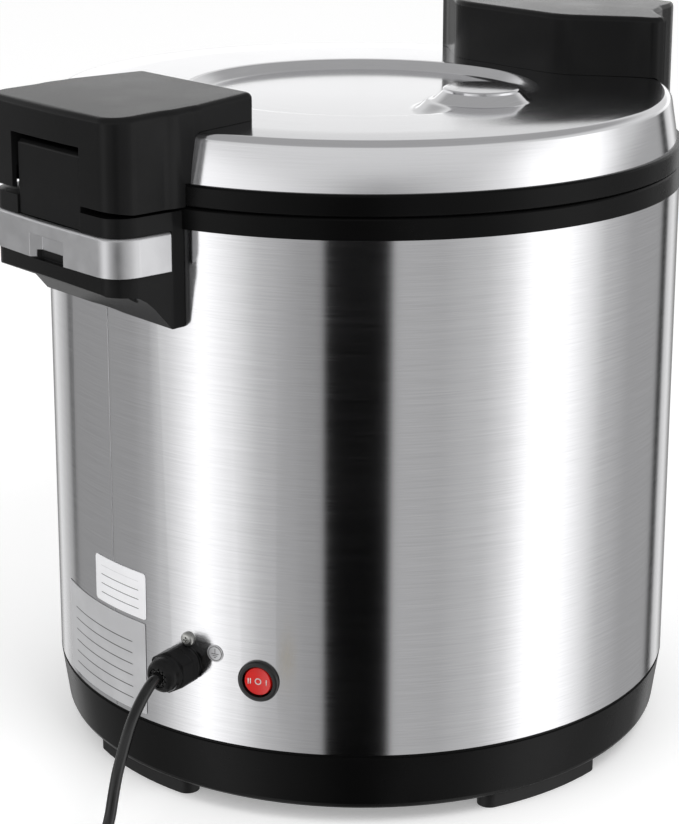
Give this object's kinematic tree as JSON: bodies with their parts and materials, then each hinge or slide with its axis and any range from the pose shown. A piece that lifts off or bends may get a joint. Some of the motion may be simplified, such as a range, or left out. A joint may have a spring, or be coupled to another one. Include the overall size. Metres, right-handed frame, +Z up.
{
  "type": "rice warmer",
  "caption": "Round commercial rice warmer with a brushed steel body, hinged lid with steam vent, front latch, rear rocker switch and a lead with plug.",
  "frame": {"origin": "on the floor under the centre of the round body", "axes": "+Z up, +Y towards the hinge at the back, -Y towards the latch at the front, +X along the hinge pin"},
  "size_m": [0.3819, 0.5512, 0.4285],
  "materials": {
    "black_plastic": "satin, fine grain",
    "steel_sheet": "brushed round the body",
    "polished_steel": "polished",
    "bright_trim": "satin chrome",
    "rubber_black": "matt",
    "steel_zinc": "zinc plated",
    "aluminium_plain": "mill finish",
    "pot_coated": "grey non-stick coat",
    "heater_mat": "woven glass and silicone",
    "glass_wool": "fibre mat",
    "ceramic_white": "glazed",
    "wire_brown": "satin",
    "switch_red": "glossy",
    "switch_black": "glossy",
    "cord_black": "smooth PVC",
    "brass_pins": "plain",
    "gasket_white": "silicone"
  },
  "bodies": {
    "body": {"base_tray": "black_plastic", "feet": "rubber_black", "foot_screws": "steel_zinc", "outer_shell": "steel_sheet", "body_ring": "black_plastic", "inner_liner": "aluminium_plain", "inner_pot": "pot_coated", "heater_plate": "aluminium_plain", "side_heater": "heater_mat", "insulation_blanket": "glass_wool", "thermostat": "ceramic_white", "thermal_fuse": "ceramic_white", "terminal_block": "ceramic_white", "inner_wires": "wire_brown", "rear_bracket": "black_plastic", "front_bracket": "black_plastic", "rear_trim_band": "bright_trim", "front_trim_band": "bright_trim", "hinge_post": "black_plastic", "hinge_pin": "steel_zinc", "bracket_screws": "steel_zinc", "latch_pin": "steel_zinc", "latch_spring": "steel_zinc", "switch_housing": "switch_black", "switch_tabs": "brass_pins", "gland_body": "black_plastic", "gland_washer": "rubber_black", "gland_locknut": "black_plastic", "gland_nut": "black_plastic", "gland_seal": "rubber_black", "earth_screw": "steel_zinc", "earth_disc": "bright_trim", "power_cord": "cord_black", "cord_coil": "cord_black", "cord_tie": "rubber_black", "plug_body": "cord_black", "plug_pins": "brass_pins"},
    "lid": {"lid_shell": "polished_steel", "lid_ring": "black_plastic", "lid_insulation": "glass_wool", "inner_plate": "aluminium_plain", "lid_gasket": "gasket_white", "vent_grommet": "rubber_black", "hinge_cover": "black_plastic", "front_cover": "black_plastic", "latch_keeper": "steel_zinc", "keeper_screws": "steel_zinc"},
    "latch": {"latch_lever": "black_plastic"},
    "switch_rocker": {"rocker": "switch_red"}
  },
  "joints": [
    {"name": "lid_hinge", "type": "hinge", "parent": "body", "child": "lid", "pos_m": [0, 0.22, 0.374], "axis": [-1, 0, 0], "range_deg": [0, 90]},
    {"name": "latch_press", "type": "hinge", "parent": "body", "child": "latch", "pos_m": [0, -0.215, 0.364], "axis": [1, 0, 0], "range_deg": [0, 7], "stiffness_Nm_per_rad": 1.2, "springref_deg": -2.86},
    {"name": "rocker_tilt", "type": "hinge", "parent": "body", "child": "switch_rocker", "pos_m": [-0.09713, 0.16038, 0.0865], "axis": [0, 0, 1], "range_deg": [-10, 10]}
  ]
}
